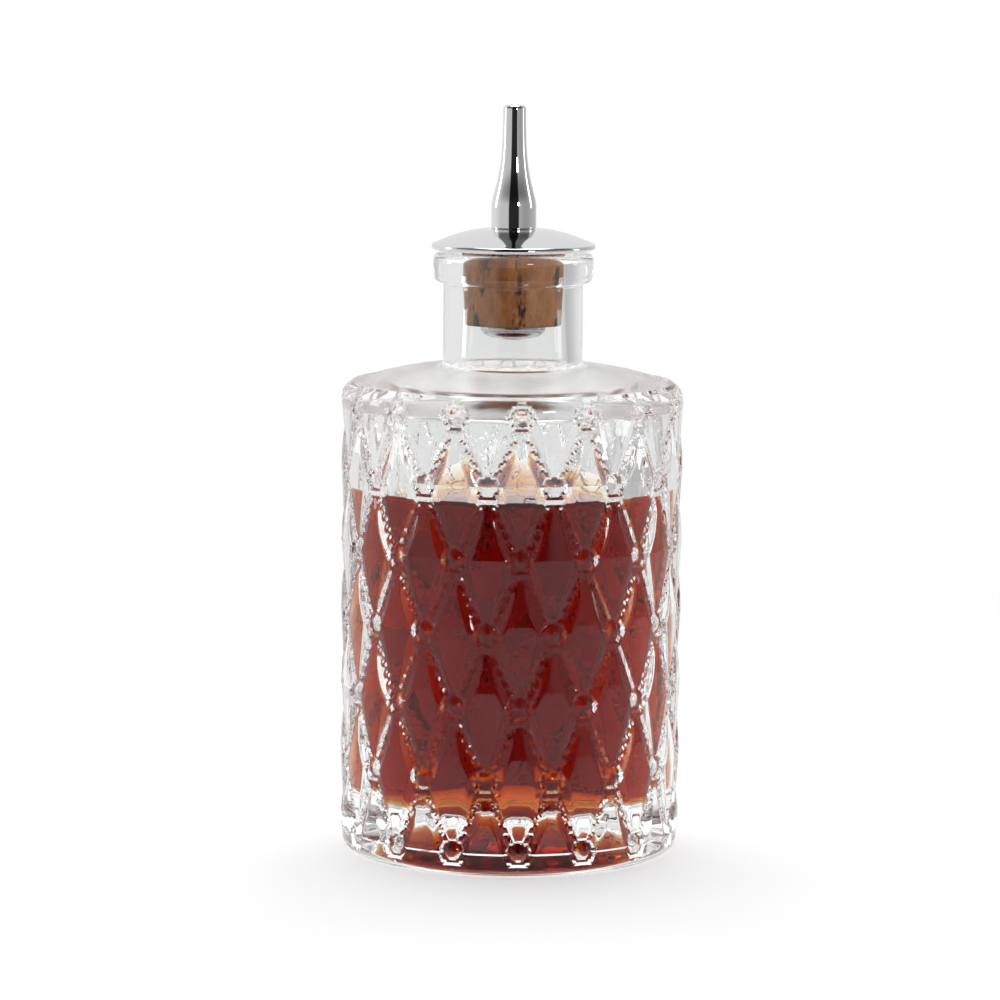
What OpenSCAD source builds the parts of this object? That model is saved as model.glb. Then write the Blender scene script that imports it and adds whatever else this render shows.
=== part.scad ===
// Bitters bottle: a heavy pressed glass bottle with a diamond pattern, part full of bitters,
// closed by a tapered cork that carries a domed metal disc and a slim dasher spout.
// Millimetres. The origin is the middle of the base and +Z is up.

/* [Glass body] */
// Radius over the crests of the diamonds
body_r = 33.4; // [32:0.1:36]
// Height of the outer rim of the shoulder
shoulder_z = 92.4; // [91:0.1:94]
// Radius that rounds the rim of the shoulder
shoulder_round = 3.4; // [2.5:0.1:4]
// Height at which the neck leaves the gently domed shoulder
neck_root_z = 95.2; // [94:0.1:97]
// Radius that rounds the bottom edge of the body
foot_round = 2.6; // [2:0.1:3]
// Inner radius of the ring that the bottle stands on
foot_inner_r = 24; // [20:0.5:27]
// Height of the hollow under the base
foot_hollow = 7; // [1:0.5:8]

/* [Neck] */
// Outer radius of the neck
neck_r = 13.6; // [13:0.1:14.5]
// Outer radius of the lip ring
lip_r = 15.6; // [14.8:0.1:16.5]
// Height of the underside of the lip ring
lip_bottom_z = 111.6; // [110:0.1:113]
// Height of the top of the lip ring, the top of the glass
lip_top_z = 117.4; // [116.5:0.1:117.6]
// Radius of the bore at the lip
bore_top_r = 10.12; // [10.1:0.01:10.3]
// Radius of the bore at the foot of the neck
bore_low_r = 10.85; // [10.2:0.05:11.5]
// Height at which the bore starts to widen downwards
bore_flare_z = 107; // [104:0.5:110]

/* [Inside of the glass] */
// Radius of the well that holds the liquid
well_r = 23.4; // [22:0.1:25]
// Thickness of the heavy base round the edge of the well
well_floor_z = 10.3; // [9.5:0.1:13]
// Rise of the floor towards the middle of the well
floor_rise = 4; // [1:0.5:6]
// Radius between the wall of the well and its floor
well_round = 2.6; // [2:0.1:6]
// Height of the roof of the well at the foot of the bore
roof_z = 91; // [90:0.1:91.4]
// Radius between the roof and the wall of the well
roof_round = 1; // [0.5:0.1:4]

/* [Diamond pattern] */
// Diamonds round the body
diamonds_round = 16; // [12:1:20]
// Height from one row of beads to the next
row_pitch = 14.1; // [13.5:0.1:14.5]
// Height of the lowest row of beads
first_row_z = 4.8; // [4.5:0.1:5.5]
// Height of the squeezed top row of half diamonds
top_row_pitch = 12.8; // [12:0.1:13.2]
// Rows of half diamonds up the body
row_count = 6; // [6:1:6]
// Depth of the grooves below the crests
groove_depth = 1.1; // [0.6:0.1:1.4]
// Half width of the middle facet at its foot, as a share of the diamond's half width
crown = 0.55; // [0.4:0.05:0.7]
// Width of the toothed band along the upper edges, as a share of the diamond
band_share = 0.21; // [0.1:0.01:0.25]
// Height of the lower facet above the grooves at its bottom tip
tip_height = 0.44; // [0.2:0.02:0.6]
// Radius of the beads on the crossings
bead_r = 1.9; // [1.2:0.1:2.2]
// How far the beads stand above the bottom of the grooves
bead_rise = 1.0; // [0.6:0.1:1.2]
// Turn of the whole pattern, so that one column of beads is near the front
pattern_turn = 3.2; // [0:0.1:11]

/* [Bitters] */
// Height of the surface of the liquid
liquid_z = 70.2; // [30:0.1:80]
// Gap between the liquid and the glass, which keeps the two solids apart
liquid_gap = 0.05; // [0.02:0.01:0.1]

/* [Cork] */
// Height of the small end of the cork
cork_bottom_z = 103.5; // [102:0.5:106]
// Radius of the small end
cork_small_r = 9.35; // [9:0.05:9.5]
// Radius of the large end under the disc
cork_large_r = 10.05; // [10:0.01:10.05]
// Radius that softens the edge of the small end
cork_edge = 0.6; // [0.3:0.1:1]

/* [Metal disc] */
// Radius of the disc
disc_r = 16; // [15:0.1:17]
// Height of the flat underside of the disc
disc_bottom_z = 118; // [117.8:0.1:118.5]
// Thickness of the rolled rim
disc_rim = 1.2; // [0.8:0.1:1.4]
// Rise of the dome from the rim to the seat of the spout
disc_dome = 2.8; // [2:0.1:3.5]

/* [Dasher spout] */
// Height of the spout above its seat
spout_h = 24; // [20:0.5:28]
// Radius of the widest part, near the seat
spout_base_r = 4.38; // [4:0.02:5]
// Radius of the slim end
spout_tip_r = 2.2; // [2:0.05:2.5]
// Radius of the hole at the tip
orifice_r = 1.2; // [0.8:0.05:1.4]

/* [Stem] */
// Outer radius of the tube that runs down through the cork
stem_r = 2.5; // [2.3:0.1:3]
// Radius of the way through the tube
stem_bore_r = 1.6; // [1.2:0.1:1.8]
// Length of tube inside the spout
stem_grip = 5.5; // [4:0.5:7]
// Radius of the collar that holds the cork from below
collar_r = 6.3; // [5.5:0.1:7]
// Height of the collar
collar_h = 2.4; // [1.8:0.1:3]

/* [Hidden] */
$fn = 96;
// A short overlap where two solids of one piece are joined
joining = 0.6;
// Clearance of the parts that slide over the stem when the stopper is put together
slip = 0.03;
seat_z = disc_bottom_z + disc_rim + disc_dome;
stem_top_z = seat_z + stem_grip;
groove_r = body_r - groove_depth;
core_r = groove_r - joining;
half_angle = 180 / diamonds_round;
crest = groove_depth - 0.02;
// The middle facet swells a little over the crest line and then leans back ever more to its top corner
crest_fall = -0.15;
tip_fall = 1.8;
// The crest line reaches this share of the way out to the corners, and falls to this height there
ledge = 0.92;
ledge_height = 0.44;
// The flanks start this little above the crest line, so that the ledge stands out over them
ledge_step = 0.03;
// Where the middle facet, a flank and the toothed band meet, and the height of the band's inner edge
band_height = 0.38;
meet_y = 0.63;
// Height of the grooves at the crossings, under the beads
crossing_height = 0.1;
// The patterned band is buried at both ends in the plain glass of the foot and of the shoulder
foot_top_z = first_row_z - 1.2;
rim_bottom_z = shoulder_z - shoulder_round - 0.4;
band_bottom_z = foot_top_z - joining;
band_top_z = rim_bottom_z + joining;
band_inner_r = core_r - joining;
foot_r = groove_r + 0.7;
// Where the dome of the shoulder begins and ends, and the curve that leads into the neck
dome_r = body_r - shoulder_round;
neck_fillet = 1.2;
neck_foot_r = neck_r + neck_fillet;
// Curves of the lip ring, outside and at the mouth
lip_fillet = 0.5;
lip_round = 1.4;
lip_edge = 0.8;
// The roof of the well ends at this radius and turns up into the bore
bore_edge = 1.5;
roof_r = bore_low_r + bore_edge;
// The flat seat of the spout on the disc, and how the disc domes up to it
seat_r = 5;
dome_power = 1.7;
// The straight barrel at the foot of the spout, its edge, and how fast the spout thins above it
barrel_h = 4.4;
barrel_edge = 0.2;
spout_fall = 0.32;
spout_power = 1.5;
// The narrow way through the tip starts this share of the way up, and the tip's edge is this round
orifice_share = 0.8;
tip_share = 0.8;
// Height of the small step between the two bores of the spout
bore_step = 1;
// Radial width of the collar's flat foot and height of its straight edge
collar_foot = 0.6;
collar_edge = 0.5;
stem_bottom_z = cork_bottom_z - collar_h - 0.2;

// Points on an arc about [cx, cz] from angle a0 to a1, in degrees
function arc(cx, cz, rx, rz, a0, a1, steps) =
    [for (i = [0 : steps]) let (a = a0 + (a1 - a0) * i / steps) [cx + rx * cos(a), cz + rz * sin(a)]];

// Height of a row of the lattice, counted in rows of beads from the lowest
function row_height(v) =
    first_row_z + min(v, row_count - 1) * row_pitch + max(0, v - row_count + 1) * top_row_pitch;

// A point of the patterned wall. u counts half diamonds round the body from the front, v counts rows
// of beads from the lowest, and h is the height over the grooves. The front of the bottle faces -Y.
function wall_point(u, v, h) =
    let (a = pattern_turn + u * half_angle, r = groove_r + h) [r * sin(a), -r * cos(a), row_height(v)];

// Height of the middle facet a share y of the way up from the crest
function middle_height(y) = crest - crest_fall * y - tip_fall * y * y;

// Corners of the facets in one diamond, as [x, y, height] with x and y from -1 to 1
top_y = 1 - band_share;
meet_x = top_y - meet_y;
corners = [
    [-ledge, 0, ledge_height], [-crown, 0, crest], [0, 0, crest], [crown, 0, crest],
    [ledge, 0, ledge_height],
    [ledge_step - top_y, ledge_step, band_height], [-meet_x, meet_y, middle_height(meet_y)],
    [0, top_y, middle_height(top_y)],
    [meet_x, meet_y, middle_height(meet_y)], [top_y - ledge_step, ledge_step, band_height],
    [0, -ledge, tip_height]
];

// Facets as corner numbers; 11 to 14 stand for the crossings at the left, right, top and bottom
upper_facets = [
    [2, 1, 6], [2, 6, 7], [2, 7, 8], [2, 8, 3],
    [1, 5, 6], [1, 0, 5], [0, 11, 5], [5, 11, 6], [11, 13, 6], [6, 13, 7],
    [3, 8, 9], [3, 9, 4], [4, 9, 12], [9, 8, 12], [12, 8, 13], [8, 7, 13]
];
lower_facets = [
    [10, 0, 1], [10, 1, 2], [10, 2, 3], [10, 3, 4],
    [11, 0, 10], [11, 10, 14], [12, 10, 4], [12, 14, 10]
];

// Crossings lie at u + v even and the middles of diamonds at u + v odd
crossing_count = diamonds_round * (row_count + 1);
function crossing_index(u, v) = v * diamonds_round + (((u - v % 2) / 2 + diamonds_round) % diamonds_round);
function diamond_index(n, v) = crossing_count + (v * diamonds_round + n) * len(corners);
function diamond_u(n, v) = 2 * n + 1 - v % 2;

// The point number of corner c in diamond n of row v
function corner_index(n, v, c) =
    let (u = diamond_u(n, v))
    c < len(corners) ? diamond_index(n, v) + c :
    c == 11 ? crossing_index(u - 1, v) :
    c == 12 ? crossing_index(u + 1, v) :
    c == 13 ? crossing_index(u, v + 1) : crossing_index(u, v - 1);

// Rows 0 and row_count end in a line of crossings and crests, which plain rings close off. A ring
// follows the columns of that line; ring 0 to 3 run from the inner bottom edge to the inner top edge.
line_shares = [-1, -ledge, -crown, 0, crown, ledge];
line_count = len(line_shares) * diamonds_round;
rings = [[band_inner_r, band_bottom_z], [groove_r, band_bottom_z], [groove_r, band_top_z],
         [band_inner_r, band_top_z]];
ring_start = crossing_count + diamonds_round * (row_count + 1) * len(corners);
function ring_index(ring, i) = ring_start + ring * line_count + i % line_count;
function line_index(v, i) =
    let (n = floor(i / 6) % diamonds_round, c = i % 6)
    c == 0 ? crossing_index(2 * n, v) : diamond_index(n, v) + c - 1;
function ring_point(ring, i) =
    let (a = pattern_turn + (2 * floor(i / 6) + 1 + line_shares[i % 6]) * half_angle)
    [rings[ring][0] * sin(a), -rings[ring][0] * cos(a), rings[ring][1]];

module patterned_band() {
    points = concat(
        [for (v = [0 : row_count]) for (n = [0 : diamonds_round - 1])
            wall_point(2 * n + v % 2, v, crossing_height)],
        [for (v = [0 : row_count]) for (n = [0 : diamonds_round - 1]) for (c = corners)
            wall_point(diamond_u(n, v) + c[0], min(row_count, max(0, v + c[1])), c[2])],
        [for (ring = [0 : 3]) for (i = [0 : line_count - 1]) ring_point(ring, i)]
    );
    facets = [for (v = [0 : row_count]) for (n = [0 : diamonds_round - 1])
        each [for (f = concat(v < row_count ? upper_facets : [], v > 0 ? lower_facets : []))
            [for (c = f) corner_index(n, v, c)]]];
    edges = [for (i = [0 : line_count - 1]) let (
            lines = [
                [ring_index(0, i), ring_index(0, i + 1)], [ring_index(1, i), ring_index(1, i + 1)],
                [line_index(0, i), line_index(0, i + 1)], [line_index(row_count, i), line_index(row_count, i + 1)],
                [ring_index(2, i), ring_index(2, i + 1)], [ring_index(3, i), ring_index(3, i + 1)]
            ])
        for (k = [0, 1, 3, 4, 5]) let (low = lines[k], high = lines[(k + 1) % 6])
            each [[low[0], high[0], high[1]], [low[0], high[1], low[1]]]];
    polyhedron(points, concat(facets, edges));
}

module beads() {
    for (v = [0 : row_count]) {
        for (n = [0 : diamonds_round - 1]) {
            u = 2 * n + v % 2;
            translate(wall_point(u, v, bead_rise - bead_r))
                sphere(r = bead_r);
        }
    }
}

// Outline of the glass seen as if it were solid, in radius and height
glass_outline = concat(
    [for (i = [0 : 12]) let (t = i / 12) [foot_inner_r * t, foot_hollow * (1 - t * t)]],
    arc(foot_r - foot_round, foot_round, foot_round, foot_round, -90, 0, 6),
    [[foot_r, foot_top_z], [core_r, foot_top_z], [core_r, rim_bottom_z], [body_r, rim_bottom_z]],
    arc(body_r - shoulder_round, shoulder_z - shoulder_round, shoulder_round, shoulder_round, 0, 90, 8),
    [for (i = [1 : 8]) let (t = i / 8)
        [dome_r - (dome_r - neck_foot_r) * t, shoulder_z + (neck_root_z - shoulder_z) * sin(90 * t)]],
    arc(neck_r + neck_fillet, neck_root_z + neck_fillet, neck_fillet, neck_fillet, -90, -180, 5),
    [[neck_r, lip_bottom_z - lip_fillet], [neck_r + lip_fillet, lip_bottom_z]],
    arc(lip_r - lip_round, lip_bottom_z + lip_round, lip_round, lip_round, -90, 0, 5),
    arc(lip_r - lip_round, lip_top_z - lip_round, lip_round, lip_round, 0, 90, 5),
    [[0, lip_top_z]]
);

// The roof falls away from the bore with a slope that grows from roof_slope to that of roof_end
roof_slope = 0.18;
roof_end = 25;
roof_end_r = well_r - roof_round * (1 - sin(roof_end));
roof_bend = (tan(roof_end) - roof_slope) / (2 * (roof_end_r - roof_r));
function roof_height(r) = let (d = r - roof_r) roof_z - roof_slope * d - roof_bend * d * d;
roof_corner_z = roof_height(roof_end_r) - roof_round * cos(roof_end);
floor_r = well_r - well_round;

// Outline of the well up to the bore, drawn in by a gap on every side
function well_outline(gap) = concat(
    [for (i = [0 : 11]) let (t = i / 12)
        [floor_r * t, well_floor_z + gap + floor_rise * pow(1 - t * t, 2)]],
    arc(floor_r, well_floor_z + well_round, well_round - gap, well_round - gap, -90, 0, 6),
    arc(well_r - roof_round, roof_corner_z, roof_round - gap, roof_round - gap, 0, 90 - roof_end, 6),
    [for (i = [1 : 8]) let (r = roof_end_r + (roof_r - roof_end_r) * i / 8) [r, roof_height(r) - gap]]
);

module glass_hollow() {
    rotate_extrude()
        polygon(concat(
            well_outline(0),
            arc(roof_r, roof_z + bore_edge, bore_edge, bore_edge, -100, -180, 5),
            [[bore_low_r, neck_root_z], [bore_top_r, bore_flare_z]],
            arc(bore_top_r + lip_edge, lip_top_z - lip_edge, lip_edge, lip_edge, 180, 90, 4),
            [[bore_top_r + lip_edge, lip_top_z + 1], [0, lip_top_z + 1]]
        ));
}

module glass_bottle() {
    color([0.86, 0.90, 0.90, 0.45])
        difference() {
            union() {
                rotate_extrude() polygon(glass_outline);
                patterned_band();
                beads();
            }
            glass_hollow();
        }
}

module bitters_liquid() {
    color([0.45, 0.03, 0.04, 0.85])
        intersection() {
            rotate_extrude() polygon(concat(well_outline(liquid_gap), [[0, roof_z - liquid_gap]]));
            cylinder(r = well_r, h = liquid_z);
        }
}

module cork() {
    color([0.66, 0.42, 0.24])
        rotate_extrude()
            polygon(concat(
                [[stem_r + slip, cork_bottom_z]],
                arc(cork_small_r - cork_edge, cork_bottom_z + cork_edge, cork_edge, cork_edge, -90, 0, 4),
                [[cork_large_r, disc_bottom_z], [stem_r + slip, disc_bottom_z]]
            ));
}

module cap_disc() {
    color([0.80, 0.80, 0.80])
        rotate_extrude()
            polygon(concat(
                [[stem_r + slip, disc_bottom_z]],
                arc(disc_r - disc_rim / 2, disc_bottom_z + disc_rim / 2, disc_rim / 2, disc_rim / 2, -90, 60, 6),
                [for (i = [1 : 12]) let (t = i / 12)
                    [disc_r - disc_rim / 2 - (disc_r - disc_rim / 2 - seat_r) * t,
                     disc_bottom_z + disc_rim + disc_dome * (1 - pow(1 - t, dome_power))]],
                [[stem_r + slip, seat_z]]
            ));
}

// Radius of the spout at a height above its seat: a short barrel that falls away to a slim stem
function spout_radius(h) =
    let (t = max(0, h - barrel_h) / (spout_h - barrel_h))
    spout_tip_r + (spout_base_r - spout_tip_r) * exp(-pow(t / spout_fall, spout_power));

module spout_nozzle() {
    tip_round = (spout_tip_r - orifice_r) * tip_share;
    slim_r = spout_radius(spout_h);
    color([0.78, 0.78, 0.79])
        translate([0, 0, seat_z])
            rotate_extrude()
                polygon(concat(
                    [[stem_r + slip, 0], [spout_base_r - barrel_edge, 0], [spout_base_r, barrel_edge * 2]],
                    [for (i = [0 : 20]) let (h = barrel_h + (spout_h - tip_round - barrel_h) * i / 20)
                        [spout_radius(h), h]],
                    arc(slim_r - tip_round, spout_h - tip_round, tip_round, tip_round, 15, 90, 5),
                    [[orifice_r, spout_h], [orifice_r, spout_h * orifice_share], [stem_bore_r, stem_grip + slip + bore_step],
                     [stem_r + slip, stem_grip + slip]]
                ));
}

module stem_tube() {
    color([0.70, 0.70, 0.72])
        translate([0, 0, stem_bottom_z])
            difference() {
                cylinder(r = stem_r, h = stem_top_z - stem_bottom_z);
                translate([0, 0, -1]) cylinder(r = stem_bore_r, h = stem_top_z - stem_bottom_z + 2);
            }
}

module end_collar() {
    foot_r = stem_r + collar_foot;
    color([0.45, 0.45, 0.48])
        rotate_extrude()
            polygon(concat(
                [[stem_r + slip, cork_bottom_z - collar_h]],
                arc(foot_r, cork_bottom_z - collar_edge, collar_r - foot_r, collar_h - collar_edge, -90, 0, 8),
                [[collar_r, cork_bottom_z], [stem_r + slip, cork_bottom_z]]
            ));
}

glass_bottle();
bitters_liquid();
cork();
cap_disc();
spout_nozzle();
stem_tube();
end_collar();
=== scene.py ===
"""Bitters bottle with a dasher stopper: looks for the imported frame, in metres, +Z up, front at -Y."""
import logging
import math
from dataclasses import dataclass, field
from enum import Enum, IntEnum

import bpy
import numpy as np
from mathutils import Matrix, Vector


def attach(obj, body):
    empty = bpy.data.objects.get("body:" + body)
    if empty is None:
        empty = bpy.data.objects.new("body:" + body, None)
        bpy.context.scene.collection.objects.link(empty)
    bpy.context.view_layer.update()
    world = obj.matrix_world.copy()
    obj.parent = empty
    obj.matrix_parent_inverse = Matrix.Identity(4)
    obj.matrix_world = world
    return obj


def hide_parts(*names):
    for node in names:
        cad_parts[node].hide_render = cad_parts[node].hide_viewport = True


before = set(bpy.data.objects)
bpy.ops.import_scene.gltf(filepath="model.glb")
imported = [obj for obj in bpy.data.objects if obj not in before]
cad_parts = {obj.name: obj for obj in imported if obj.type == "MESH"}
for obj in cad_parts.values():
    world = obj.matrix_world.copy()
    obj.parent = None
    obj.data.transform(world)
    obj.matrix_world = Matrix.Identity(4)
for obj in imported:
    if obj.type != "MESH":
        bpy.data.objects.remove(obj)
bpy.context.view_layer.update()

log = logging.getLogger("bitters_bottle")
MM = 0.001
GLASS_IOR = 1.52
BITTERS_IOR = 1.35
WET_MARGIN = 1e-3        # slack in the comparison of heights with the wet edge, in millimetres
ON_AXIS = 1e-6           # a profile point nearer to the axis than this, in millimetres, is a pole


class Body(Enum):
    """The two rigid bodies of the part."""

    BOTTLE = "bottle"
    STOPPER = "stopper"


class GlassSlot(IntEnum):
    """The material slots of the glass."""

    CLEAR = 0
    WET = 1
    SHOULDER = 2


# Meshes


def arc(centre: tuple[float, float], radii: tuple[float, float], start: float, end: float,
        steps: int) -> np.ndarray:
    """Points on an elliptical arc: centre plus (rx cos a, rz sin a), with a going evenly from start to end.

    Args:
        centre: Radius and height of the centre, in millimetres.
        radii: Half axes along the radius and along the height, in millimetres.
        start: First angle in degrees.
        end: Last angle in degrees.
        steps: Number of intervals.

    Returns:
        An array of steps + 1 rows of radius and height.
    """
    a = np.radians(np.linspace(start, end, steps + 1))
    return np.column_stack([centre[0] + radii[0] * np.cos(a), centre[1] + radii[1] * np.sin(a)])


def line(first: tuple[float, float], last: tuple[float, float], steps: int = 1) -> np.ndarray:
    """Points evenly spaced along a straight line of a profile, both ends included.

    Args:
        first: Radius and height of the start, in millimetres.
        last: Radius and height of the end, in millimetres.
        steps: Number of intervals.

    Returns:
        An array of steps + 1 rows of radius and height.
    """
    t = np.linspace(0.0, 1.0, steps + 1)[:, None]
    return np.asarray(first, float) * (1 - t) + np.asarray(last, float) * t


def chain(*stretches: np.ndarray) -> np.ndarray:
    """Joins stretches of a profile into one, without the points that repeat where they meet.

    Args:
        stretches: Arrays of radius and height, in order.

    Returns:
        One array of radius and height.
    """
    points = np.vstack(stretches)
    apart = np.linalg.norm(np.diff(points, axis=0), axis=1) > 1e-4
    return points[np.concatenate([[True], apart])]


def ring_points(radius: np.ndarray, height: np.ndarray, angle: np.ndarray) -> np.ndarray:
    """Points (r sin a, -r cos a, z): angle 0 is the front of the bottle.

    Args:
        radius: Radii in millimetres.
        height: Heights in millimetres.
        angle: Angles round the axis in radians.

    Returns:
        An array of points in millimetres, with the inputs' broadcast shape and 3 columns.
    """
    radius, height, angle = np.broadcast_arrays(radius, height, angle)
    return np.stack([radius * np.sin(angle), -radius * np.cos(angle), height], axis=-1)


def ring_faces(index: np.ndarray) -> np.ndarray:
    """Quads between each ring j and the next: (j, k), (j, k + 1), (j + 1, k + 1), (j + 1, k), k going round.

    Args:
        index: Vertex indices, one row for each closed ring.

    Returns:
        One row of 4 indices for each quad, ring by ring.
    """
    low, high = index[:-1], index[1:]
    return np.stack([low, np.roll(low, -1, axis=1), np.roll(high, -1, axis=1), high], axis=-1).reshape(-1, 4)


def make_object(name: str, points: np.ndarray, blocks: list[np.ndarray],
                material_index: np.ndarray | None = None) -> bpy.types.Object:
    """Makes a smooth-shaded mesh object from points in millimetres.

    Args:
        name: Name of the piece.
        points: Vertices in millimetres.
        blocks: Arrays of faces, each row the vertex indices of one face.
        material_index: Material slot of each face, or None for all in the first.

    Returns:
        The new object, at the origin, in metres.
    """
    mesh = bpy.data.meshes.new(name)
    mesh.from_pydata((points * MM).tolist(), [], [face for block in blocks for face in block.tolist()])
    mesh.polygons.foreach_set("use_smooth", np.ones(len(mesh.polygons), bool))
    if material_index is not None:
        mesh.polygons.foreach_set("material_index", material_index.astype(np.int32))
    mesh.update()
    piece = bpy.data.objects.new(name, mesh)
    bpy.context.scene.collection.objects.link(piece)
    return piece


def revolve(name: str, profile: np.ndarray, columns: int, closed: bool = False) -> bpy.types.Object:
    """Turns a profile round the axis: point (j, k) is (r_j sin a, -r_j cos a, z_j), a = 2 pi k / columns.

    A profile that starts or ends on the axis gets one pole there. A closed profile makes a ring.

    Args:
        name: Name of the piece.
        profile: Radius and height, in millimetres, in order so that the solid lies on its left.
        columns: Points round the axis.
        closed: Whether the last point joins the first.

    Returns:
        The new object.
    """
    angle = 2 * np.pi * np.arange(columns) / columns
    points = ring_points(profile[:, :1], profile[:, 1:], angle[None, :]).reshape(-1, 3)
    index = np.arange(len(points)).reshape(len(profile), columns)
    blocks: list[np.ndarray] = []
    first, last = 0, len(profile)
    keep = np.ones(len(points), bool)
    for pole, inner in ((0, 1), (last - 1, last - 2)):
        if not closed and profile[pole, 0] < ON_AXIS:
            ring, ring_next = index[inner], np.roll(index[inner], -1)
            tip = np.full(columns, index[pole, 0])
            blocks.append(np.column_stack([tip, ring_next, ring] if pole == 0 else [ring, ring_next, tip]))
            keep[index[pole, 1:]] = False
            first, last = (1, last) if pole == 0 else (first, last - 1)
    blocks.append(ring_faces(index[first:last]))
    if closed:
        blocks.append(ring_faces(index[[-1, 0]]))
    new_index = np.cumsum(keep) - 1
    return make_object(name, points[keep], [new_index[block] for block in blocks])


# Finishes


class Nodes:
    """A short way to add shader nodes and join them."""

    def __init__(self, name: str, world: bpy.types.World | None = None) -> None:
        """Makes an empty node material, or empties a world's nodes.

        Args:
            name: Name of the material.
            world: The world to write to, or None for a new material.
        """
        self.owner = world or bpy.data.materials.new(name)
        self.owner.use_nodes = True
        self.tree = self.owner.node_tree
        self.tree.nodes.clear()
        self.output = self.tree.nodes.new("ShaderNodeOutputWorld" if world else "ShaderNodeOutputMaterial")

    def add(self, kind: str, **settings: object) -> bpy.types.Node:
        """Adds a node. A setting whose name is an attribute is set on the node, the rest on its inputs.

        Args:
            kind: Type of the node, without its ShaderNode prefix.
            settings: Values, or sockets to link from. In an input's name an underscore stands for a space,
                and i0, i1 and so on stand for its number.

        Returns:
            The new node.
        """
        node = self.tree.nodes.new("ShaderNode" + kind)
        attributes = [key for key in settings if hasattr(node, key)]
        for key in attributes:
            setattr(node, key, settings.pop(key))
        for key, value in settings.items():
            numbered = key[0] == "i" and key[1:].isdigit()
            socket = node.inputs[int(key[1:]) if numbered else key.replace("_", " ")]
            if isinstance(value, bpy.types.NodeSocket):
                self.tree.links.new(value, socket)
            else:
                socket.default_value = value
        return node

    def maths(self, operation: str, *values: object) -> bpy.types.NodeSocket:
        """Adds a Math node and returns its output.

        Args:
            operation: The Math node's operation.
            values: Numbers or sockets, in order.

        Returns:
            The result's socket.
        """
        return self.add("Math", operation=operation, **{f"i{k}": v for k, v in enumerate(values)}).outputs[0]

    def smooth_step(self, value: bpy.types.NodeSocket, low: float, high: float, at_low: float = 0.0,
                    at_high: float = 1.0) -> bpy.types.NodeSocket:
        """Adds a Map Range node that goes smoothly from one level to another.

        Args:
            value: The input.
            low: Input at which the first level ends.
            high: Input at which the second level starts.
            at_low: The first level.
            at_high: The second level.

        Returns:
            The result's socket.
        """
        return self.add("MapRange", interpolation_type="SMOOTHSTEP", Value=value, From_Min=low, From_Max=high,
                        To_Min=at_low, To_Max=at_high).outputs[0]

    def finish(self, surface: bpy.types.NodeSocket,
               volume: bpy.types.NodeSocket | None = None) -> bpy.types.ID:
        """Joins the surface and any volume to the output.

        Args:
            surface: The shader of the surface, or of the world.
            volume: The shader of what is inside, if any.

        Returns:
            The material or the world.
        """
        self.tree.links.new(surface, self.output.inputs["Surface"])
        if volume is not None:
            self.tree.links.new(volume, self.output.inputs["Volume"])
        return self.owner


@dataclass(frozen=True)
class GlassFinish:
    """Clear glass. Light from lamps passes through, so that shadows stay as light as real ones."""

    name: str = "pressed_glass"
    ior: float = GLASS_IOR
    tint: tuple[float, float, float] = (0.985, 0.995, 0.99)
    shadow_tint: float = 0.86
    roughness: float = 0.0

    def material(self) -> bpy.types.Material:
        """Makes the material.

        Returns:
            The new material.
        """
        n = Nodes(self.name)
        glass = n.add("BsdfPrincipled", Base_Color=(*self.tint, 1), Roughness=self.roughness,
                      IOR=self.ior, Transmission_Weight=1.0)
        clear = n.add("BsdfTransparent", Color=(self.shadow_tint,) * 3 + (1,))
        lamp = n.add("LightPath").outputs["Is Shadow Ray"]
        mixed = n.add("MixShader", i0=lamp, i1=glass.outputs[0], i2=clear.outputs[0])
        return n.finish(mixed.outputs[0])


@dataclass(frozen=True)
class BittersFinish:
    """Dark red bitters, amber where they are thin: absorption per metre in red, green and blue."""

    name: str = "bitters"
    ior: float = BITTERS_IOR
    absorb: tuple[float, float, float] = (48.0, 165.0, 305.0)

    def material(self) -> bpy.types.Material:
        """Makes the material. Only its free surface bends light: the wet wall of the glass does it elsewhere.

        Returns:
            The new material.
        """
        n = Nodes(self.name)
        # The density is a little over the largest absorption, so that no channel's share falls to nothing
        most = max(self.absorb) * 1.1
        free = n.add("Attribute", attribute_name="free_surface").outputs["Fac"]
        bend = n.maths("ADD", n.maths("MULTIPLY", free, self.ior - 1.0), 1.0)
        liquid = n.add("BsdfPrincipled", Base_Color=(1, 1, 1, 1), Roughness=0.0, IOR=bend,
                       Transmission_Weight=1.0)
        inside = n.add("VolumeAbsorption", Density=most,
                       Color=(*(1 - a / most for a in self.absorb), 1))
        return n.finish(liquid.outputs[0], inside.outputs[0])


@dataclass(frozen=True)
class MetalFinish:
    """Metal with a fine grain in its gloss."""

    name: str
    colour: tuple[float, float, float] = (0.86, 0.86, 0.87)
    roughness: tuple[float, float] = (0.01, 0.05)
    grain: float = 900.0

    def material(self) -> bpy.types.Material:
        """Makes the material.

        Returns:
            The new material.
        """
        n = Nodes(self.name)
        where = n.add("TexCoord").outputs["Object"]
        smear = n.add("TexNoise", Vector=where, Scale=self.grain, Detail=3.0)
        rough = n.add("MapRange", Value=smear.outputs[0], To_Min=self.roughness[0],
                      To_Max=self.roughness[1])
        metal = n.add("BsdfPrincipled", Base_Color=(*self.colour, 1), Metallic=1.0,
                      Roughness=rough.outputs[0])
        return n.finish(metal.outputs[0])


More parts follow.
